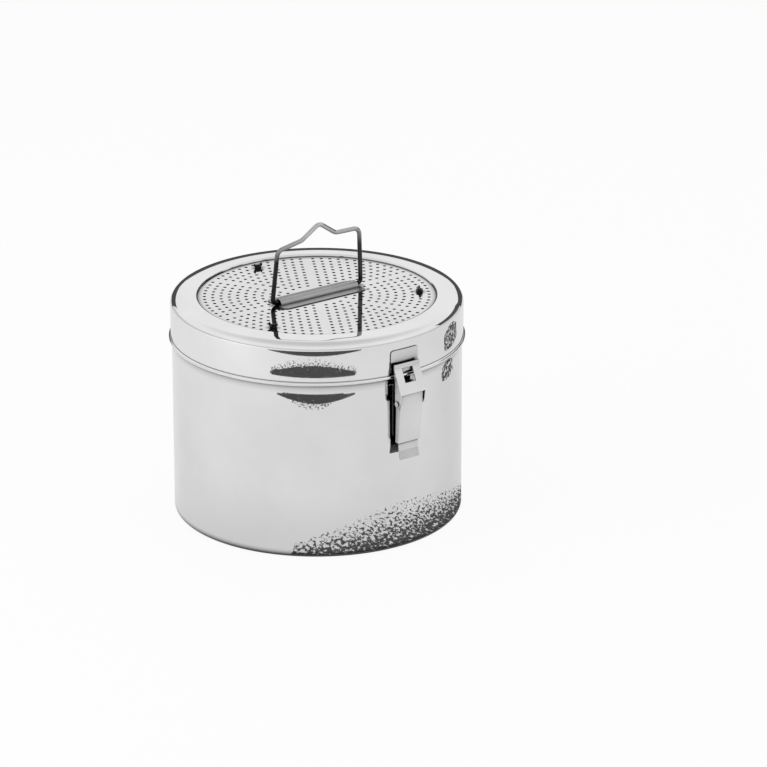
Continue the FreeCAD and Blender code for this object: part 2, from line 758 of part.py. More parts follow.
def build_latch_base(side):
    """Plate on the drum with two ears that carry the lever's pin."""
    base = body(f"{side}_latch_base")
    inside = "(drum_radius + weld_gap)"
    low = f"{LEVER_PIVOT} - base_below"
    curved_plate(base, "base_width", inside, "plate_gauge", low, "base_below + base_above")
    round_corners(base, "keeper_corner", "plate_gauge")
    ears = side_sketch(base, [
        ("(weld_gap + plate_gauge/2)", f"{LEVER_PIVOT} - ear_root"),
        ("pivot_out", f"{LEVER_PIVOT} - ear_radius"),
        ("pivot_out + ear_radius", LEVER_PIVOT, "ear_radius"),
        ("pivot_out", f"{LEVER_PIVOT} + ear_radius", "ear_radius"),
        ("(weld_gap + plate_gauge/2)", f"{LEVER_PIVOT} + ear_radius/2"),
    ])
    pad(base, ears, "ear_inner + 2*plate_gauge", both_ways=True)
    space = side_sketch(base, [
        ("(weld_gap + plate_gauge)", f"{LEVER_PIVOT} - ear_root - plate_gauge"),
        ("pivot_out + 2*ear_radius", f"{LEVER_PIVOT} - ear_root - plate_gauge"),
        ("pivot_out + 2*ear_radius", f"{LEVER_PIVOT} + ear_root"),
        ("(weld_gap + plate_gauge)", f"{LEVER_PIVOT} + ear_root"),
    ])
    cut(base, space, "ear_inner")
    drill_across(base, [("pivot_out", LEVER_PIVOT)], "pin_radius + pin_play")
    return base


def build_lever(side):
    """Channel lever: web outside, two flanges round the ears, and a cranked finger tab below."""
    lever = body(f"{side}_lever")
    end = f"({LEVER_PIVOT} - lever_length)"
    web_in = "(pivot_out + web_top - plate_gauge)"
    outline = side_sketch(lever, [
        ("pivot_out + web_top", f"{LEVER_PIVOT} + pin_radius"),
        ("pivot_out", end),
        ("pivot_out - flange_depth", end),
        ("pivot_out - ear_radius", f"{LEVER_PIVOT} - 2*throw_down"),
        ("pivot_out - ear_radius - gauge", LEVER_PIVOT),
        ("pivot_out - ear_radius + gauge", f"{LEVER_PIVOT} + ear_radius"),
        ("pivot_out + pin_radius", f"{LEVER_PIVOT} + ear_radius"),
    ])
    pad(lever, outline, "lever_width", both_ways=True)
    inside = side_sketch(lever, [
        (web_in, f"{LEVER_PIVOT} + pin_radius"),
        ("pivot_out - plate_gauge", end),
        ("pivot_out - plate_gauge", f"{end} - gauge"),
        ("0", f"{end} - gauge"),
        ("0", f"{LEVER_PIVOT} + 2*ear_radius"),
        (web_in, f"{LEVER_PIVOT} + 2*ear_radius"),
    ])
    cut(lever, inside, "lever_width - 2*plate_gauge")
    step = "(pivot_out - plate_gauge)"
    tab = side_sketch(lever, [
        ("pivot_out", f"{end} + plate_gauge"),
        (f"{step} - gauge/2", f"{end} - 2*plate_gauge"),
        (step, f"{end} - tab_length/2"),
        ("pivot_out + plate_gauge", f"{end} - tab_length"),
        ("pivot_out", f"{end} - tab_length"),
        (f"{step} - plate_gauge", f"{end} - tab_length/2"),
        (f"{step} - plate_gauge - gauge/2", f"{end} - 2*plate_gauge"),
        (step, f"{end} + plate_gauge"),
    ])
    pad(lever, tab, "tab_width", both_ways=True)
    drill_across(lever, [("pivot_out", LEVER_PIVOT), (LOOP_OUT, LOOP_PIVOT)], "pin_radius + pin_play")
    return lever


def build_loop(side):
    """Sheet loop: sloping apron with a window, crossbar above it, and two arms back to its pin."""
    loop = body(f"{side}_loop")
    bar_in = f"({TONGUE_TIP} + seat_gap)"
    bar_out = f"({bar_in} + loop_gauge)"
    bar_top = f"({WINDOW_TOP} + crossbar_height)"
    foot = f"({LEVER_PIVOT} + pin_radius)"
    outline = side_sketch(loop, [
        (bar_out, bar_top),
        (bar_out, WINDOW_TOP),
        ("pivot_out + apron_out", foot),
        ("pivot_out + apron_out - loop_gauge", f"{LOOP_PIVOT} + pin_radius"),
        (f"{LOOP_OUT} + pin_radius + gauge", f"{LOOP_PIVOT} - 2*pin_radius"),
        (f"{LOOP_OUT} - pin_radius", f"{LOOP_PIVOT} - 2*pin_radius"),
        (f"{LOOP_OUT} - 2*pin_radius", LOOP_PIVOT),
        (f"{LOOP_OUT} - 2*pin_radius", f"{LEVER_PIVOT} + 3*ear_radius"),
        (bar_in, WINDOW_TOP),
        (bar_in, bar_top),
    ])
    pad(loop, outline, "loop_width", both_ways=True)
    hollow = side_sketch(loop, [
        (bar_in, WINDOW_TOP),
        ("pivot_out + apron_out - loop_gauge", foot),
        ("pivot_out + 2*apron_out", foot),
        ("pivot_out + 2*apron_out", f"{LOOP_PIVOT} - 4*pin_radius"),
        ("0", f"{LOOP_PIVOT} - 4*pin_radius"),
        ("0", WINDOW_TOP),
    ])
    cut(loop, hollow, "loop_width - 2*loop_gauge")
    half_window = "(window_width/2)"
    window = draw(new_sketch(loop, "XZ_Plane", "drum_radius"), [
        (f"-{half_window}", f"{WINDOW_TOP} - window_height"),
        (half_window, f"{WINDOW_TOP} - window_height"),
        (half_window, WINDOW_TOP),
        (f"-{half_window}", WINDOW_TOP),
    ])
    cut(loop, window, "4*(pivot_out + apron_out)")
    drill_across(loop, [(LOOP_OUT, LOOP_PIVOT)], "pin_radius + pin_play")
    return loop


def build_pin(label, out, level, half_length, head_height):
    """A pin along X with a flat head at each end."""
    pin = body(label)
    sketch = new_sketch(pin, "XY_Plane", level)
    draw(sketch, [
        (f"-({half_length} + {head_height})", f"-(drum_radius + {out})"),
        (f"-({half_length} + {head_height})", f"-(drum_radius + {out} + pin_head_radius)"),
        (f"-{half_length}", f"-(drum_radius + {out} + pin_head_radius)"),
        (f"-{half_length}", f"-(drum_radius + {out} + pin_radius)"),
        (half_length, f"-(drum_radius + {out} + pin_radius)"),
        (half_length, f"-(drum_radius + {out} + pin_head_radius)"),
        (f"{half_length} + {head_height}", f"-(drum_radius + {out} + pin_head_radius)"),
        (f"{half_length} + {head_height}", f"-(drum_radius + {out})"),
    ])
    turned = pin.newObject("PartDesign::Revolution", f"{label}_turned")
    turned.Profile = sketch
    turned.ReferenceAxis = (sketch, ["Edge1"])
    turned.Angle = 360
    return pin


def build_latch(side, turn):
    """A whole toggle latch, made at the front and turned to its side of the drum."""
    lever_half = "(lever_width/2 + weld_gap)"
    loop_half = "(loop_width/2 + weld_gap)"
    pieces = [
        build_keeper(side),
        build_latch_base(side),
        build_lever(side),
        build_loop(side),
        build_pin(f"{side}_lever_pin", "pivot_out", LEVER_PIVOT, lever_half, "pin_head_height"),
        build_pin(f"{side}_loop_pin", LOOP_OUT, LOOP_PIVOT, loop_half, "loop_head_height"),
    ]
    about_axis = FreeCAD.Rotation(FreeCAD.Vector(0, 0, 1), turn)
    for piece in pieces:
        piece.Placement = FreeCAD.Placement(FreeCAD.Vector(), about_axis)
    return pieces


def check(pieces):
    """Stops the build where an object failed or a piece has no sound solid."""
    doc.recompute()
    for thing in doc.Objects:
        if "Invalid" in thing.State or "Error" in thing.State:
            raise RuntimeError(f"{thing.Label} failed to build")
    for piece in pieces:
        if piece.Shape.isNull() or not piece.Shape.isValid() or not piece.Shape.Solids:
            raise RuntimeError(f"{piece.Label} has no sound solid")


def main():
    pieces = [
        build_drum(),
        build_long_divider(),
        build_short_divider(),
        build_divider_guides(),
        build_lid_shell(),
        build_gasket(),
        build_vent_panel(),
        build_filter_cloth(),
        build_filter_retainer(),
        build_filter_studs(),
        build_filter_nuts(),
        build_handle_bracket(),
        build_handle_bail(),
    ]
    pieces += build_latch("front", 0)
    pieces += build_latch("back", 180)
    check(pieces)
    os.makedirs("parts", exist_ok=True)
    for piece in pieces:
        piece.Shape.exportStep(f"parts/{piece.Label}.step")
        print(f"{piece.Label}: {len(piece.Shape.Solids)} solid(s), {piece.Shape.Volume / 1000:.2f} cm3")


main()
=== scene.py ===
import json
import math

import bpy
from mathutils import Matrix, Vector
from mathutils.geometry import delaunay_2d_cdt


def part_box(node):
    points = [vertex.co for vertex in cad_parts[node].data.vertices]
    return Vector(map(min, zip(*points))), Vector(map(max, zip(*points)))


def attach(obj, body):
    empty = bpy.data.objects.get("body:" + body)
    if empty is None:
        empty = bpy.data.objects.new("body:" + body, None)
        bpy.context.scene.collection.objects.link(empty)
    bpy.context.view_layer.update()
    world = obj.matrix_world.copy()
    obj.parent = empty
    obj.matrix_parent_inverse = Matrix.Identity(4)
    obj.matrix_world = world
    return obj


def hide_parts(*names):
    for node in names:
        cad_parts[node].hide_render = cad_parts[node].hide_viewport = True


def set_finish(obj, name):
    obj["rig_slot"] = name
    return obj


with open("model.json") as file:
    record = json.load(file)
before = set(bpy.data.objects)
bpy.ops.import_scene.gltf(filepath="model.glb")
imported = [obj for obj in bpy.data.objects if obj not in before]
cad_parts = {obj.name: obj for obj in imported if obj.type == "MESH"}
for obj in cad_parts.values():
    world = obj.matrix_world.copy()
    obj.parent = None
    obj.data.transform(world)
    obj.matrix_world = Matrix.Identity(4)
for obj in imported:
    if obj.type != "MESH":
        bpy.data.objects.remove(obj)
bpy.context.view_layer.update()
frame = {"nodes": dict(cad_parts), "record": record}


nodes = frame["nodes"]

# Sizes in metres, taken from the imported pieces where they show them
_, drum_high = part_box("drum_body")
lid_low, lid_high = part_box("lid_shell")
panel_low, panel_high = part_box("vent_panel")
GAUGE = 0.001
TURN_STEPS = 192
SMOOTH_ANGLE = 35
# distance from a long run's end to its extra point, which keeps the run's shading flat
EDGE_HOLD = 0.0003

# Drum sheet
DRUM_RADIUS = drum_high.x
DRUM_TOP = drum_high.z
LOWER_CORNER = 0.006
FOOT_RADIUS = 0.150
FOOT_RISE = 0.003
RIM_BEAD = 0.0022
# depth at which the rolled rim's edge meets the inside of the wall
RIM_DEPTH = 0.0052

# Lid sheet
LID_TOP = lid_high.z
HEM = lid_low.z
SKIRT_STEP = 0.0014
SKIRT_RADIUS = DRUM_RADIUS + SKIRT_STEP
HEM_BEAD = lid_high.x - SKIRT_RADIUS
SHOULDER = 0.0095
RECESS_RADIUS = 0.1392
RECESS_ROUND = 0.002
LEDGE_DEPTH = 0.0042
LEDGE_WIDTH = 0.0047
# the lid's ring falls away gently before its shoulder, up to a slope in degrees
CROWN_SLOPE = 3
CROWN_WIDTH = 0.009

# Perforated disc: six sectors of eleven rings of holes between blank spokes
PANEL_RADIUS = panel_high.x
SECTORS = 6
RINGS = 11
OUTER_RING = 0.1312
RING_PITCH = 0.00966
OUTER_HOLES = 13
HOLE_RADIUS = 0.0021
HOLE_STEPS = 16
BLANK_SPOKE = 0.015
STUD_CIRCLE = 0.1206
STUD_ANGLES = (90, 210, 330)
STUD_CLEARANCE = 0.0072
STUD_BORE = 0.00205
BORE_STEPS = 20
# points closer than this are one in the disc's mesh
WELD = 1e-7

# Noise values between which a colour or a roughness runs from one end to the other
NOISE_RANGE = (0.3, 0.7)
EVEN = (1, 1, 1)
# share of the colour that the painted corner shade darkens
CORNER_SHADE_DEPTH = 0.95
# scale and detail of the steel's drawing marks and of its clouds, and detail of rubber's and cloth's grain
MARKS = (60, 4)
CLOUDS = (9, 3)
GRAIN_DETAIL = 2
STEEL_RELIEF = 0.0004
SOFT_RELIEF = 0.0003

# Steels: dark and pale tone, least and most roughness, stretch of the drawing marks, bump, and how far
# and how strongly the painted corner shade darkens the colour
STEELS = {
    "sheet_steel": (0.74, 0.82, (0.01, 0.02), (1, 1, 0.2), 0.008, (0.010, 3.5)),
    "lid_steel": (0.77, 0.86, (0.01, 0.02), (1, 1, 0.2), 0.008, (0.0015, 2.6)),
    "panel_steel": (0.71, 0.80, (0.03, 0.07), (1, 1, 1), 0.04, (0.006, 4)),
    "dull_steel": (0.05, 0.16, (0.18, 0.28), (1, 1, 1), 0.10, (0.02, 2.6)),
    "wire": (0.02, 0.07, (0.10, 0.20), (1, 1, 1), 0.06, (0.02, 2.6)),
    "saddle": (0.34, 0.48, (0.30, 0.45), (1, 4, 4), 0.10, (0.005, 2.6)),
    "latch_steel": (0.60, 0.78, (0.12, 0.24), (1, 1, 1), 0.10, (0.015, 2.6)),
}
# painted highlight: the wire turns paler towards its top between two levels in metres, up to a tone
TOP_HIGHLIGHTS = {"wire": (0.315, 0.340, 0.55)}
# Rubber and cloth: dark and pale colour, scale of the grain and bump
SOFTS = {
    "seal_rubber": ((0.35, 0.35, 0.34), (0.45, 0.45, 0.43), 300, 0.1),
    "filter_fabric": ((0.30, 0.30, 0.30), (0.44, 0.44, 0.43), 900, 0.4),
}
SOFT_ROUGHNESS = (0.6, 0.85)
# pieces and nodes with a finish that isn't their slot's
OWN_FINISHES = {"handle_bail": "wire", "handle_bracket": "saddle", "lid_skin": "lid_steel"}

# Studio: height of the direction of view from 0 at the horizon to 1 overhead, and the tone there
STUDIO_BANDS = ((0, 0.60), (0.20, 1.00), (0.60, 1.00), (1, 0.70))
STUDIO_STRENGTH = 0.94
FLOOR_TONE = 0.62
FLOOR_SIDE = 30
# how much of the floor is steady white for the camera and for reflections
FLOOR_WHITE_SEEN = 0.93
FLOOR_WHITE_MIRRORED = 0.35

# Soft boxes: azimuth from the camera's, elevation, distance, width and height, and power in watts
SOFT_BOXES = {
    "left_box": (-60, 25, 2.4, (1.6, 1.8), 36),
    "right_box": (55, 30, 2.6, (1.4, 1.6), 6),
    "top_box": (180, 60, 2.2, (2.0, 1.4), 10),
}
SOFT_BOX_AIM = 0.13

# Stage cards: what the polished sheet mirrors round the drum, seen by reflections only
CARD_TONE = 0.08
CARD_STEPS = 32
CARD_NOISE_DETAIL = 4
CARD_NOISE_ROUGHNESS = 0.6
# heights of the cards that lie on the floor, and of those over them
LOW = 0.0015
OVER = 2 * LOW
# scale of a card's noise, noise values at which it is clear and solid, stretch, and how much of the
# noise it loses from its near edge to its far one
CARD_LOOKS = {
    "plain": (5, (-1, 0), (1, 1, 1), 0),
    "ragged": (50, (0.30, 0.38), (1, 3, 1), 0),
    "frayed_far": (50, (0.37, 0.43), (1, 3, 1), 0.22),
    "frayed_near": (50, (0.56, 0.62), (1, 3, 1), -0.22),
    "mottled": (25, (0.42, 0.50), (2, 3, 1), 0),
    "speckled": (120, (0.37, 0.43), (1.7, 1, 1), 0.20),
}
# look, near edge, far edge, and middle and half width in degrees from the camera's side, positive to
# the right. An edge is its radius at the left end and at the right end, its bulge and its height.
CARDS = {
    "skirt_line_card": ("plain", (0.846, 0.846, -0.009, LOW), (0.880, 0.880, 0, LOW), -1, 33),
    "skirt_card": ("ragged", (0.757, 0.757, 0, LOW), (0.772, 0.772, 0.030, LOW), -2, 29),
    "skirt_edge_card": ("frayed_far", (0.757, 0.757, 0, OVER), (0.784, 0.784, 0.044, OVER), -2, 30),
    "wall_card": ("ragged", (0.686, 0.686, -0.024, LOW), (0.692, 0.692, 0, LOW), 0, 27),
    "wall_edge_card": ("frayed_near", (0.682, 0.682, -0.048, OVER), (0.692, 0.692, 0, OVER), -2, 21),
    "base_card": ("speckled", (0.171, 0.171, 0, LOW), (0.210, 0.198, 0.090, LOW), 48, 58),
    "side_skirt_card": ("mottled", (0.700, 0.700, -0.010, LOW), (0.755, 0.755, 0.025, LOW), 119, 11),
    "side_wall_card": ("mottled", (0.595, 0.595, -0.010, LOW), (0.635, 0.635, 0.018, LOW), 113, 9),
    "back_floor_card": ("plain", (1.70, 1.70, 0, LOW), (3, 3, 0, LOW), 180, 24),
    "back_wall_card": ("plain", (3, 3, 0, LOW), (3, 3, 0, 1.20), 180, 36),
    "right_wall_card": ("ragged", (2.4, 2.4, 0, 0.45), (2.4, 2.4, 0, 1.25), 130, 24),
}

# Camera: a long lens from the front left, aimed a little to the right of the drum's axis
AZIMUTH = -36.3
ELEVATION = 20.72
DISTANCE = 5.0
FOCAL_PIXELS = 4250
PICTURE_SIDE = 767
SENSOR = 36
CLIP_RANGE = (0.1, 100)
AIM_HEIGHT = 0.15
AIM_RIGHT = 0.0778
AIM_UP = 0.0009


def arc(centre, radius, start, end, steps):
    """Points of an arc in an outline of radius and height, angles in degrees."""
    points = []
    for step in range(steps + 1):
        turn = math.radians(start + (end - start) * step / steps)
        points.append((centre[0] + radius * math.cos(turn), centre[1] + radius * math.sin(turn)))
    return points


def new_object(name, vertices, faces, body, material_slot):
    """A mesh piece that rides on a body."""
    mesh = bpy.data.meshes.new(name)
    mesh.from_pydata(vertices, [], faces)
    mesh.validate()
    mesh.shade_smooth()
    mesh.set_sharp_from_angle(angle=math.radians(SMOOTH_ANGLE))
    piece = bpy.data.objects.new(name, mesh)
    bpy.context.scene.collection.objects.link(piece)
    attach(piece, body)
    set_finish(piece, material_slot)
    return piece


def hold_flats(outline):
    """The closed outline with extra points close to both ends of each long straight run."""
    held = []
    for index, end in enumerate(outline):
        start = outline[index - 1]
        run = math.hypot(end[0] - start[0], end[1] - start[1])
        if run > 6 * EDGE_HOLD:
            for share in (EDGE_HOLD / run, 1 - EDGE_HOLD / run):
                held.append(tuple(near + (far - near) * share for near, far in zip(start, end)))
        held.append(end)
    return held


def lathe(name, outline, body, material_slot):
    """Turns a closed outline of radius and height about Z. Points on the axis are shared."""
    vertices, rings = [], []
    for radius, height in hold_flats(outline):
        if radius < WELD:
            vertices.append((0, 0, height))
            rings.append([len(vertices) - 1] * TURN_STEPS)
            continue
        first = len(vertices)
        for step in range(TURN_STEPS):
            turn = 2 * math.pi * step / TURN_STEPS
            vertices.append((radius * math.cos(turn), radius * math.sin(turn), height))
        rings.append(range(first, first + TURN_STEPS))
    faces = []
    for index in range(len(rings)):
        low, high = rings[index - 1], rings[index]
        if len(set(low)) == 1 and len(set(high)) == 1:
            continue
        for step in range(TURN_STEPS):
            after = (step + 1) % TURN_STEPS
            corner = [low[step], low[after], high[after], high[step]]
            faces.append(list(dict.fromkeys(corner)))
    return new_object(name, vertices, faces, body, material_slot)


def build_drum():
    """The drum with its rounded lower edge and rolled rim."""
    lower = (DRUM_RADIUS - LOWER_CORNER, LOWER_CORNER)
    outline = [(0, FOOT_RISE), (FOOT_RADIUS, FOOT_RISE), (FOOT_RADIUS + FOOT_RISE, 0)]
    outline += arc(lower, LOWER_CORNER, -90, 0, 10)
    outline += arc((DRUM_RADIUS - RIM_BEAD, DRUM_TOP - RIM_BEAD), RIM_BEAD, 0, 240, 12)
    outline += [(DRUM_RADIUS - GAUGE, DRUM_TOP - RIM_DEPTH)]
    outline += arc(lower, LOWER_CORNER - GAUGE, 0, -90, 8)
    outline += [(FOOT_RADIUS + FOOT_RISE, GAUGE), (FOOT_RADIUS, FOOT_RISE + GAUGE), (0, FOOT_RISE + GAUGE)]
    drum = lathe("drum_skin", outline, "drum", "sheet_steel")
    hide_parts("drum_body")
    return drum


def build_lid():
    """The lid's ring with a rolled hem, a round shoulder and a stepped recess."""
    fall = math.radians(CROWN_SLOPE)
    bend = SKIRT_RADIUS - SHOULDER + SHOULDER * math.sin(fall)
    crown = CROWN_WIDTH / math.sin(fall)
    shoulder_level = LID_TOP - crown * (1 - math.cos(fall)) - SHOULDER * math.cos(fall)
    ledge_level = LID_TOP - LEDGE_DEPTH
    ledge_edge = RECESS_RADIUS - LEDGE_WIDTH
    step = (RECESS_RADIUS + RECESS_ROUND, LID_TOP - RECESS_ROUND)
    outline = [(SKIRT_RADIUS - GAUGE, HEM)]
    outline += arc((SKIRT_RADIUS, HEM + HEM_BEAD), HEM_BEAD, -90, 90, 14)
    outline += arc((SKIRT_RADIUS - SHOULDER, shoulder_level), SHOULDER, 0, 90 - CROWN_SLOPE, 16)
    outline += arc((bend - CROWN_WIDTH, LID_TOP - crown), crown, 90 - CROWN_SLOPE, 90, 6)[1:]
    outline += arc(step, RECESS_ROUND, 90, 180, 6)
    outline += [(RECESS_RADIUS, ledge_level), (ledge_edge, ledge_level), (ledge_edge, ledge_level - GAUGE),
                (RECESS_RADIUS + GAUGE, ledge_level - GAUGE)]
    outline += arc(step, RECESS_ROUND - GAUGE, 180, 90, 4)
    outline += arc((SKIRT_RADIUS - SHOULDER, LID_TOP - SHOULDER), SHOULDER - GAUGE, 90, 0, 10)
    lid = lathe("lid_skin", outline, "lid", "sheet_steel")
    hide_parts("lid_shell")
    return lid


def on_circle(radius, angle):
    """The point at an angle in degrees on a circle about the axis."""
    turn = math.radians(angle)
    return Vector((radius * math.cos(turn), radius * math.sin(turn)))


def hole_places():
    """Centres of the disc's holes, each ring one hole per sector shorter than the one outside it."""
    studs = [on_circle(STUD_CIRCLE, angle) for angle in STUD_ANGLES]
    places = []
    for ring in range(RINGS):
        radius = OUTER_RING - ring * RING_PITCH
        count = OUTER_HOLES - ring
        span = radius * 2 * math.pi / SECTORS - BLANK_SPOKE
        for sector in range(SECTORS):
            middle = (sector + 0.5) * 360 / SECTORS
            for number in range(count):
                swing = math.degrees((number / (count - 1) - 0.5) * span / radius)
                place = on_circle(radius, middle + swing)
                if all((place - stud).length > STUD_CLEARANCE for stud in studs):
                    places.append(place)
    return places


def ring_points(centre, radius, count):
    """Points round a circle, anticlockwise."""
    points = []
    for index in range(count):
        turn = 2 * math.pi * index / count
        points.append(Vector((centre[0] + radius * math.cos(turn), centre[1] + radius * math.sin(turn))))
    return points


def build_panel():
    """The perforated disc with every hole round."""
    rings = [ring_points((0, 0), PANEL_RADIUS, TURN_STEPS)]
    rings += [ring_points(on_circle(STUD_CIRCLE, angle), STUD_BORE, BORE_STEPS) for angle in STUD_ANGLES]
    rings += [ring_points(place, HOLE_RADIUS, HOLE_STEPS) for place in hole_places()]
    flat, edges, owners = [], [], []
    for number, ring in enumerate(rings):
        first = len(flat)
        flat += ring
        owners += [number] * len(ring)
        edges += [(first + index, first + (index + 1) % len(ring)) for index in range(len(ring))]
    triangles = delaunay_2d_cdt(flat, edges, [], 1, WELD)[2]
    vertices = [(*point, level) for level in (panel_low.z, panel_high.z) for point in flat]
    above = len(flat)
    faces = []
    for triangle in triangles:
        # a triangle whose corners all lie on one inner ring would close that hole
        owner = {owners[corner] for corner in triangle}
        if len(owner) > 1 or owner == {0}:
            faces.append([above + corner for corner in triangle])
            faces.append(list(reversed(triangle)))
    for start, end in edges:
        wall = [start, end, above + end, above + start]
        faces.append(wall if owners[start] == 0 else wall[::-1])
    panel = new_object("perforated_disc", vertices, faces, "lid", "panel_steel")
    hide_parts("vent_panel")
    return panel


def new_material(name):
    """A material with its node tree, empty but for the output."""
    material = bpy.data.materials.new(name)
    material.use_nodes = True
    tree = material.node_tree
    for node in list(tree.nodes):
        if node.type != "OUTPUT_MATERIAL":
            tree.nodes.remove(node)
    return material, tree, tree.nodes[0]


def add_maths(tree, operation, source, value):
    """A value worked out from another one and a number."""
    maths = tree.nodes.new("ShaderNodeMath")
    maths.operation = operation
    maths.inputs[1].default_value = value
    tree.links.new(source, maths.inputs[0])
    return maths


def add_noise(tree, scale, detail, stretch, coordinates="Object"):
    """Noise over the object's own or its flat coordinates, stretched along their axes."""
    place = tree.nodes.new("ShaderNodeTexCoord")
    mapping = tree.nodes.new("ShaderNodeMapping")
    mapping.inputs["Scale"].default_value = stretch
    noise = tree.nodes.new("ShaderNodeTexNoise")
    noise.inputs["Scale"].default_value = scale
    noise.inputs["Detail"].default_value = detail
    tree.links.new(place.outputs[coordinates], mapping.inputs["Vector"])
    tree.links.new(mapping.outputs["Vector"], noise.inputs["Vector"])
    return noise


def add_range(tree, source, source_range, result_range=(0, 1)):
    """A value spread from one range to another, and held at its ends."""
    spread = tree.nodes.new("ShaderNodeMapRange")
    spread.inputs["From Min"].default_value, spread.inputs["From Max"].default_value = source_range
    spread.inputs["To Min"].default_value, spread.inputs["To Max"].default_value = result_range
    tree.links.new(source, spread.inputs["Value"])
    return spread.outputs["Result"]


def add_colours(tree, source, dark, pale):
    """A colour between two by a noise value."""
    ramp = tree.nodes.new("ShaderNodeValToRGB")
    for end, place, colour in zip(ramp.color_ramp.elements, NOISE_RANGE, (dark, pale)):
        end.position = place
        end.color = (*colour, 1)
    tree.links.new(source, ramp.inputs["Fac"])
    return ramp.outputs["Color"]


def paint_corner_shade(tree, colour, reach, power):
    """The colour with painted shade: darker where other surfaces stand within reach."""
    close = tree.nodes.new("ShaderNodeAmbientOcclusion")
    close.inputs["Distance"].default_value = reach
    deeper = add_maths(tree, "POWER", close.outputs["AO"], power)
    mix = tree.nodes.new("ShaderNodeMix")
    mix.data_type = "RGBA"
    mix.blend_type = "MULTIPLY"
    mix.inputs["Factor"].default_value = CORNER_SHADE_DEPTH
    tree.links.new(colour, mix.inputs["A"])
    tree.links.new(deeper.outputs["Value"], mix.inputs["B"])
    return mix.outputs["Result"]


def paint_top_highlight(tree, colour, low, high, pale):
    """The colour with a painted highlight, paler with height between two levels."""
    place = tree.nodes.new("ShaderNodeTexCoord")
    split = tree.nodes.new("ShaderNodeSeparateXYZ")
    mix = tree.nodes.new("ShaderNodeMix")
    mix.data_type = "RGBA"
    mix.inputs["B"].default_value = (pale, pale, pale, 1)
    tree.links.new(place.outputs["Object"], split.inputs["Vector"])
    tree.links.new(add_range(tree, split.outputs["Z"], (low, high)), mix.inputs["Factor"])
    tree.links.new(colour, mix.inputs["A"])
    return mix.outputs["Result"]


def add_relief(tree, source, strength, depth, surface):
    """Small bumps on a surface."""
    relief = tree.nodes.new("ShaderNodeBump")
    relief.inputs["Strength"].default_value = strength
    relief.inputs["Distance"].default_value = depth
    tree.links.new(source, relief.inputs["Height"])
    tree.links.new(relief.outputs["Normal"], surface.inputs["Normal"])


def steel(name, dark, pale, rough, stretch, bump, corner):
    """Polished sheet: faint drawing marks along one direction, small ripples and painted shade in the
    corners.
    """
    material, tree, output = new_material(name)
    surface = tree.nodes.new("ShaderNodeBsdfPrincipled")
    surface.inputs["Metallic"].default_value = 1
    marks = add_noise(tree, *MARKS, stretch).outputs["Fac"]
    cloud = add_noise(tree, *CLOUDS, EVEN).outputs["Fac"]
    colour = add_colours(tree, cloud, (dark,) * 3, (pale,) * 3)
    # painted highlight on the wire's top bar
    if name in TOP_HIGHLIGHTS:
        colour = paint_top_highlight(tree, colour, *TOP_HIGHLIGHTS[name])
    # painted shade: the base colour darkens in corners and beside other parts
    tree.links.new(paint_corner_shade(tree, colour, *corner), surface.inputs["Base Color"])
    tree.links.new(add_range(tree, marks, NOISE_RANGE, rough), surface.inputs["Roughness"])
    add_relief(tree, marks, bump, STEEL_RELIEF, surface)
    tree.links.new(surface.outputs["BSDF"], output.inputs["Surface"])
    return material


def soft(name, dark, pale, scale, bump):
    """Matt rubber or cloth with a fine grain."""
    material, tree, output = new_material(name)
    surface = tree.nodes.new("ShaderNodeBsdfPrincipled")
    grain = add_noise(tree, scale, GRAIN_DETAIL, EVEN).outputs["Fac"]
    tree.links.new(add_colours(tree, grain, dark, pale), surface.inputs["Base Color"])
    tree.links.new(add_range(tree, grain, NOISE_RANGE, SOFT_ROUGHNESS), surface.inputs["Roughness"])
    add_relief(tree, grain, bump, SOFT_RELIEF, surface)
    tree.links.new(surface.outputs["BSDF"], output.inputs["Surface"])
    return material


def paint(pieces):
    """Gives every shown piece and CAD node its material."""
    finishes = {name: steel(name, *look) for name, look in STEELS.items()}
    finishes.update({name: soft(name, *look) for name, look in SOFTS.items()})
    slots = {row["node"]: row["material_slot"] for row in frame["record"]["subparts"]}
    for name, node in nodes.items():
        node.data.materials.clear()
        node.data.materials.append(finishes[OWN_FINISHES.get(name, slots[name])])
    for piece in pieces:
        piece.data.materials.clear()
        piece.data.materials.append(finishes[OWN_FINISHES.get(piece.name, piece["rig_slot"])])


def build_floor():
    """A pale floor that shows only a faint shadow to the camera."""
    material, tree, output = new_material("floor")
    surface = tree.nodes.new("ShaderNodeBsdfDiffuse")
    surface.inputs["Color"].default_value = (FLOOR_TONE, FLOOR_TONE, FLOOR_TONE, 1)
    glow = tree.nodes.new("ShaderNodeEmission")
    rays = tree.nodes.new("ShaderNodeLightPath")
    seen = add_maths(tree, "MULTIPLY", rays.outputs["Is Camera Ray"], FLOOR_WHITE_SEEN)
    steady = add_maths(tree, "MULTIPLY_ADD", rays.outputs["Is Glossy Ray"], FLOOR_WHITE_MIRRORED)
    mix = tree.nodes.new("ShaderNodeMixShader")
    tree.links.new(seen.outputs["Value"], steady.inputs[2])
    tree.links.new(steady.outputs["Value"], mix.inputs["Fac"])
    tree.links.new(surface.outputs["BSDF"], mix.inputs[1])
    tree.links.new(glow.outputs["Emission"], mix.inputs[2])
    tree.links.new(mix.outputs["Shader"], output.inputs["Surface"])
    bpy.ops.mesh.primitive_plane_add(size=FLOOR_SIDE, location=(0, 0, 0))
    floor = bpy.context.object
    floor.name = "floor"
    floor.data.materials.append(material)


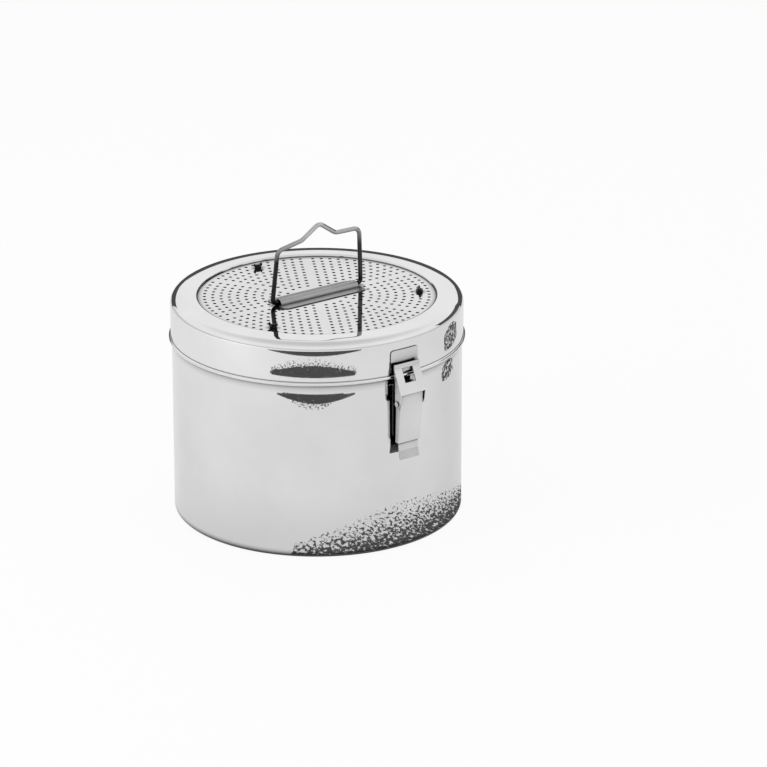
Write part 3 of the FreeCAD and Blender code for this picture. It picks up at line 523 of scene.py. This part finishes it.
def card_material(name, scale, cover, stretch, loss):
    """Dark card that is clear where its noise is low. The noise drops by the loss up to its far edge."""
    material, tree, output = new_material(name)
    spots = add_noise(tree, scale, CARD_NOISE_DETAIL, stretch, "UV")
    spots.inputs["Roughness"].default_value = CARD_NOISE_ROUGHNESS
    place = tree.nodes.new("ShaderNodeUVMap")
    place.uv_map = "across"
    split = tree.nodes.new("ShaderNodeSeparateXYZ")
    less = add_maths(tree, "MULTIPLY_ADD", split.outputs["Y"], -loss)
    clear = tree.nodes.new("ShaderNodeBsdfTransparent")
    dark = tree.nodes.new("ShaderNodeEmission")
    dark.inputs["Color"].default_value = (CARD_TONE, CARD_TONE, CARD_TONE, 1)
    mix = tree.nodes.new("ShaderNodeMixShader")
    tree.links.new(place.outputs["UV"], split.inputs["Vector"])
    tree.links.new(spots.outputs["Fac"], less.inputs[2])
    tree.links.new(add_range(tree, less.outputs["Value"], cover), mix.inputs["Fac"])
    tree.links.new(clear.outputs["BSDF"], mix.inputs[1])
    tree.links.new(dark.outputs["Emission"], mix.inputs[2])
    tree.links.new(mix.outputs["Shader"], output.inputs["Surface"])
    return material


def add_card(name, material, near, far, middle, half_width):
    """A dark strip round the drum between a near and a far edge, which only reflections see."""
    vertices, spread, shares = [], [], []
    for step in range(CARD_STEPS + 1):
        share = step / CARD_STEPS
        turn = math.radians(AZIMUTH - 90 + middle - half_width + 2 * half_width * share)
        for side, (left, right, bulge, height) in enumerate((near, far)):
            radius = left + (right - left) * share + bulge * math.sin(math.pi * share)
            vertices.append((radius * math.cos(turn), radius * math.sin(turn), height))
            spread.append((turn * near[0], radius + height))
            shares.append((share, side))
    faces = [(2 * step, 2 * step + 1, 2 * step + 3, 2 * step + 2) for step in range(CARD_STEPS)]
    mesh = bpy.data.meshes.new(name)
    mesh.from_pydata(vertices, [], faces)
    flat = mesh.uv_layers.new(name="flat")
    across = mesh.uv_layers.new(name="across")
    for loop in mesh.loops:
        flat.data[loop.index].uv = spread[loop.vertex_index]
        across.data[loop.index].uv = shares[loop.vertex_index]
    mesh.uv_layers.active = flat
    flat.active_render = True
    mesh.materials.append(material)
    card = bpy.data.objects.new(name, mesh)
    bpy.context.scene.collection.objects.link(card)
    card.visible_camera = False
    card.visible_diffuse = False
    card.visible_shadow = False


def build_cards():
    """Dark things round the drum that its polished sheet mirrors."""
    materials = {look: card_material(f"{look}_card", *values) for look, values in CARD_LOOKS.items()}
    for name, (look, *shape) in CARDS.items():
        add_card(name, materials[look], *shape)


def build_world():
    """White for the camera. Everything else sees a studio that is grey at the horizon and bright above."""
    world = bpy.data.worlds.new("studio")
    bpy.context.scene.world = world
    world.use_nodes = True
    tree = world.node_tree
    tree.nodes.clear()
    output = tree.nodes.new("ShaderNodeOutputWorld")
    rays = tree.nodes.new("ShaderNodeLightPath")
    mix = tree.nodes.new("ShaderNodeMixShader")
    studio = tree.nodes.new("ShaderNodeBackground")
    white = tree.nodes.new("ShaderNodeBackground")
    place = tree.nodes.new("ShaderNodeTexCoord")
    split = tree.nodes.new("ShaderNodeSeparateXYZ")
    ramp = tree.nodes.new("ShaderNodeValToRGB")
    bands = ramp.color_ramp.elements
    bands[0].position, bands[1].position = STUDIO_BANDS[0][0], STUDIO_BANDS[-1][0]
    for height, _ in STUDIO_BANDS[1:-1]:
        bands.new(height)
    for band, (_, tone) in zip(bands, STUDIO_BANDS):
        band.color = (tone, tone, tone, 1)
    tree.links.new(place.outputs["Generated"], split.inputs["Vector"])
    tree.links.new(split.outputs["Z"], ramp.inputs["Fac"])
    tree.links.new(ramp.outputs["Color"], studio.inputs["Color"])
    studio.inputs["Strength"].default_value = STUDIO_STRENGTH
    white.inputs["Color"].default_value = (1, 1, 1, 1)
    white.inputs["Strength"].default_value = 1
    tree.links.new(rays.outputs["Is Camera Ray"], mix.inputs["Fac"])
    tree.links.new(studio.outputs["Background"], mix.inputs[1])
    tree.links.new(white.outputs["Background"], mix.inputs[2])
    tree.links.new(mix.outputs["Shader"], output.inputs["Surface"])


def directions(azimuth, elevation):
    """Unit vectors back to the viewer, to the right and up, for a direction of view in degrees."""
    turn, tilt = math.radians(azimuth), math.radians(elevation)
    back = Vector((math.sin(turn) * math.cos(tilt), -math.cos(turn) * math.cos(tilt), math.sin(tilt)))
    right = Vector((math.cos(turn), math.sin(turn), 0))
    return back, right, back.cross(right)


def build_lights():
    """Large soft boxes at both sides and above, which light the floor but aren't mirrored."""
    for name, (azimuth, elevation, distance, size, power) in SOFT_BOXES.items():
        back, _, _ = directions(AZIMUTH + azimuth, elevation)
        lamp = bpy.data.lights.new(name, "AREA")
        lamp.shape = "RECTANGLE"
        lamp.size, lamp.size_y = size
        lamp.energy = power
        light = bpy.data.objects.new(name, lamp)
        light.location = Vector((0, 0, SOFT_BOX_AIM)) + back * distance
        light.rotation_euler = back.to_track_quat("Z", "Y").to_euler()
        light.visible_glossy = False
        bpy.context.scene.collection.objects.link(light)


def build_camera():
    """The camera, with the photograph's framing."""
    back, right, up = directions(AZIMUTH, ELEVATION)
    data = bpy.data.cameras.new("camera")
    data.sensor_width = SENSOR
    data.lens = SENSOR * FOCAL_PIXELS / PICTURE_SIDE
    data.clip_start, data.clip_end = CLIP_RANGE
    camera = bpy.data.objects.new("camera", data)
    camera.location = Vector((0, 0, AIM_HEIGHT)) + right * AIM_RIGHT + up * AIM_UP + back * DISTANCE
    camera.rotation_mode = "QUATERNION"
    camera.rotation_quaternion = back.to_track_quat("Z", "Y")
    bpy.context.scene.collection.objects.link(camera)
    bpy.context.scene.camera = camera


paint([build_drum(), build_lid(), build_panel()])
build_floor()
build_cards()
build_world()
build_lights()
build_camera()
bpy.context.scene.view_settings.view_transform = "Standard"
